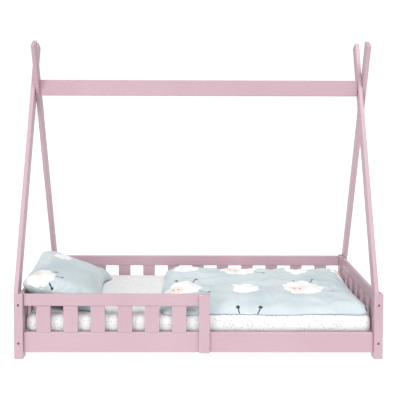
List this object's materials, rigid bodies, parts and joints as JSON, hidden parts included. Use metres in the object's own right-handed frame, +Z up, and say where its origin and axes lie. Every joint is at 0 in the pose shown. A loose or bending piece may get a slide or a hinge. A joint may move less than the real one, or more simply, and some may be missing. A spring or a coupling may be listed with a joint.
{
  "type": "toddler bed",
  "caption": "House-shaped toddler bed: slatted panels on three sides, a guard along half the open side, crossed poles at each end joined by a ridge board, with mattress, pillow and duvet.",
  "frame": {"origin": "middle of the bed's footprint, on the floor", "axes": "+X towards the foot end, -Y towards the open side with the guard, +Z up"},
  "size_m": [1.6715, 0.86, 1.4523],
  "materials": {
    "paint": "satin pale pink paint on pine",
    "pine": "bare planed pine",
    "steel": "dark zinc-plated steel",
    "sheet": "white cotton fitted sheet with a small grey fleck",
    "duvet": "pale blue printed cotton",
    "pillow": "pale blue printed cotton"
  },
  "bodies": {
    "frame": {"bolt_foot_high": "steel", "bolt_foot_low": "steel", "bolt_head_high": "steel", "bolt_head_low": "steel", "foot_low_rail": "paint", "foot_slat_1": "paint", "foot_slat_2": "paint", "foot_slat_3": "paint", "foot_slat_4": "paint", "foot_slat_5": "paint", "foot_slat_6": "paint", "foot_top_rail": "paint", "front_cleat": "pine", "front_side_rail": "paint", "guard_slat_1": "paint", "guard_slat_2": "paint", "guard_slat_3": "paint", "guard_slat_4": "paint", "guard_slat_5": "paint", "guard_slat_6": "paint", "guard_stile": "paint", "guard_top_rail": "paint", "head_low_rail": "paint", "head_slat_1": "paint", "head_slat_2": "paint", "head_slat_3": "paint", "head_slat_4": "paint", "head_slat_5": "paint", "head_slat_6": "paint", "head_top_rail": "paint", "pole_foot_front": "paint", "pole_foot_rear": "paint", "pole_head_front": "paint", "pole_head_rear": "paint", "post_foot_front": "paint", "post_foot_rear": "paint", "post_head_front": "paint", "post_head_rear": "paint", "rear_cleat": "pine", "rear_side_rail": "paint", "rear_slat_1": "paint", "rear_slat_10": "paint", "rear_slat_11": "paint", "rear_slat_2": "paint", "rear_slat_3": "paint", "rear_slat_4": "paint", "rear_slat_5": "paint", "rear_slat_6": "paint", "rear_slat_7": "paint", "rear_slat_8": "paint", "rear_slat_9": "paint", "rear_top_rail": "paint", "ridge_board": "paint", "ridge_bolt_foot": "steel", "ridge_bolt_head": "steel", "slatted_base": "pine"},
    "mattress": {"mattress": "sheet"},
    "pillow": {"pillow": "pillow"},
    "duvet": {"duvet": "duvet"}
  },
  "joints": [
    {"name": "mattress_lift", "type": "slide", "parent": "frame", "child": "mattress", "axis": [0, 0, 1], "range_m": [0, 0.15]},
    {"name": "pillow_lift", "type": "slide", "parent": "mattress", "child": "pillow", "axis": [0, 0, 1], "range_m": [0, 0.06]},
    {"name": "duvet_lift", "type": "slide", "parent": "mattress", "child": "duvet", "axis": [0, 0, 1], "range_m": [0, 0.12]}
  ]
}
